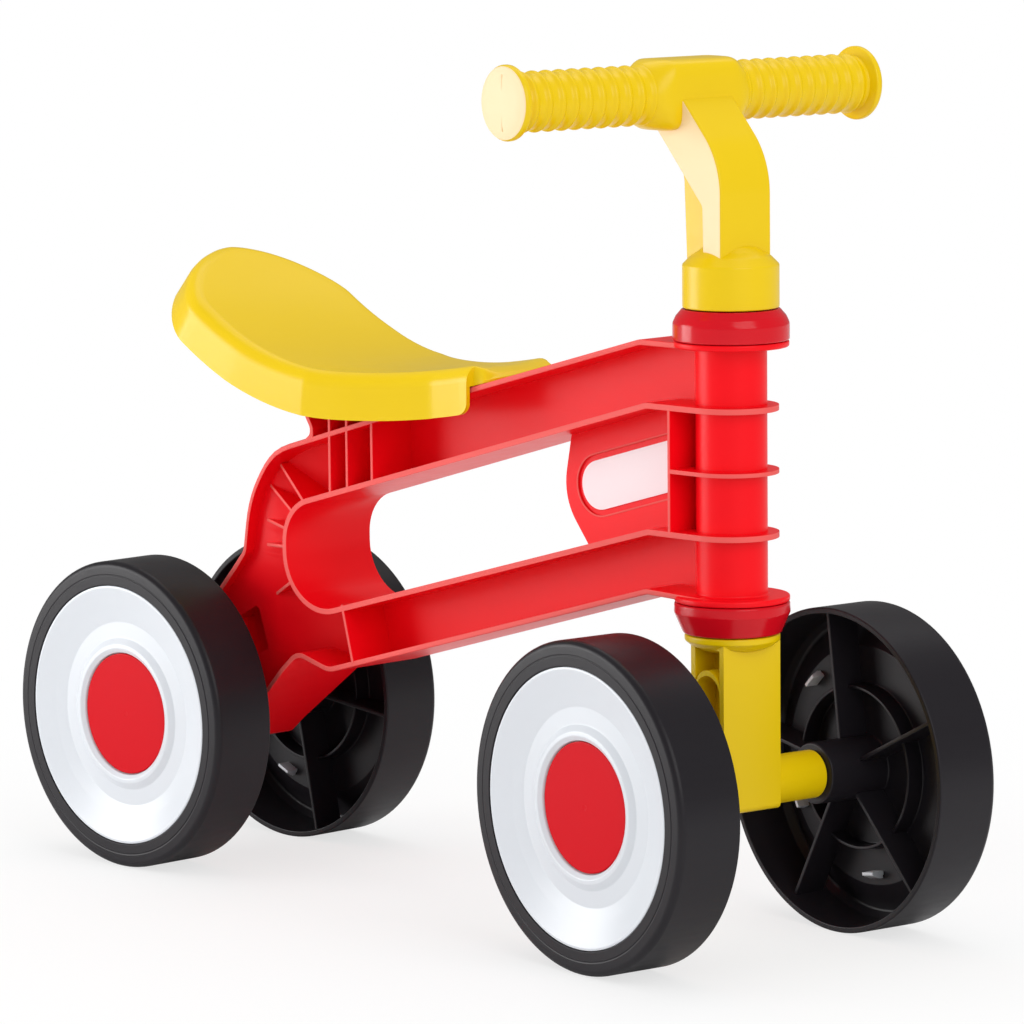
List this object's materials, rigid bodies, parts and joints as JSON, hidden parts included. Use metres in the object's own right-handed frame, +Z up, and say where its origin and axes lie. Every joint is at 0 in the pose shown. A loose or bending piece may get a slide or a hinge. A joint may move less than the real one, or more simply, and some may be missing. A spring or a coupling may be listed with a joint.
{
  "type": "foot-to-floor ride-on",
  "caption": "Toddler's foot-to-floor ride-on: a ribbed moulded frame on hollow wheels, with a saddle seat and a steering fork under a ribbed-grip handlebar.",
  "frame": {"origin": "on the floor, at the middle of the ride-on's length and width", "axes": "+Z up, -Y the way the ride-on faces, -X the rider's right"},
  "size_m": [0.2214, 0.5422, 0.4296],
  "materials": {
    "red_plastic": "satin moulded",
    "collar_red": "glossy moulded",
    "yellow_plastic": "satin moulded",
    "black_plastic": "satin moulded",
    "white_plastic": "smooth moulded",
    "cap_red": "smooth moulded",
    "zinc_steel": "bright zinc plated",
    "label_white": "smooth printed film"
  },
  "bodies": {
    "frame": {"frame": "red_plastic", "badge_label_right": "label_white", "badge_label_left": "label_white", "seat": "yellow_plastic", "upper_collar": "collar_red", "lower_collar": "collar_red", "rear_axle": "zinc_steel", "rear_right_washer": "zinc_steel", "rear_right_push_nut": "zinc_steel", "rear_left_washer": "zinc_steel", "rear_left_push_nut": "zinc_steel"},
    "steering": {"fork": "yellow_plastic", "handlebar": "yellow_plastic", "handlebar_lock_pin": "zinc_steel", "front_axle": "zinc_steel", "front_right_washer": "zinc_steel", "front_right_push_nut": "zinc_steel", "front_left_washer": "zinc_steel", "front_left_push_nut": "zinc_steel"},
    "front_right_wheel": {"front_right_wheel": "black_plastic", "front_right_disc": "white_plastic", "front_right_cap": "cap_red"},
    "front_left_wheel": {"front_left_wheel": "black_plastic", "front_left_disc": "white_plastic", "front_left_cap": "cap_red"},
    "rear_right_wheel": {"rear_right_wheel": "black_plastic", "rear_right_disc": "white_plastic", "rear_right_cap": "cap_red"},
    "rear_left_wheel": {"rear_left_wheel": "black_plastic", "rear_left_disc": "white_plastic", "rear_left_cap": "cap_red"}
  },
  "joints": [
    {"name": "steering_turn", "type": "hinge", "parent": "frame", "child": "steering", "pos_m": [-0.00391, -0.18041, 0.23], "axis": [0, 0, 1], "range_deg": [-38.33, 51.67]},
    {"name": "front_right_wheel_spin", "type": "hinge", "parent": "steering", "child": "front_right_wheel", "pos_m": [-0.10062, -0.17051, 0.08], "axis": [0.9932, -0.1162, 0], "continuous": true},
    {"name": "front_left_wheel_spin", "type": "hinge", "parent": "steering", "child": "front_left_wheel", "pos_m": [0.09247, -0.19309, 0.08], "axis": [0.9932, -0.1162, 0], "continuous": true},
    {"name": "rear_right_wheel_spin", "type": "hinge", "parent": "frame", "child": "rear_right_wheel", "pos_m": [-0.08021, 0.19049, 0.08], "axis": [1, 0, 0], "continuous": true},
    {"name": "rear_left_wheel_spin", "type": "hinge", "parent": "frame", "child": "rear_left_wheel", "pos_m": [0.07239, 0.19049, 0.08], "axis": [1, 0, 0], "continuous": true}
  ]
}
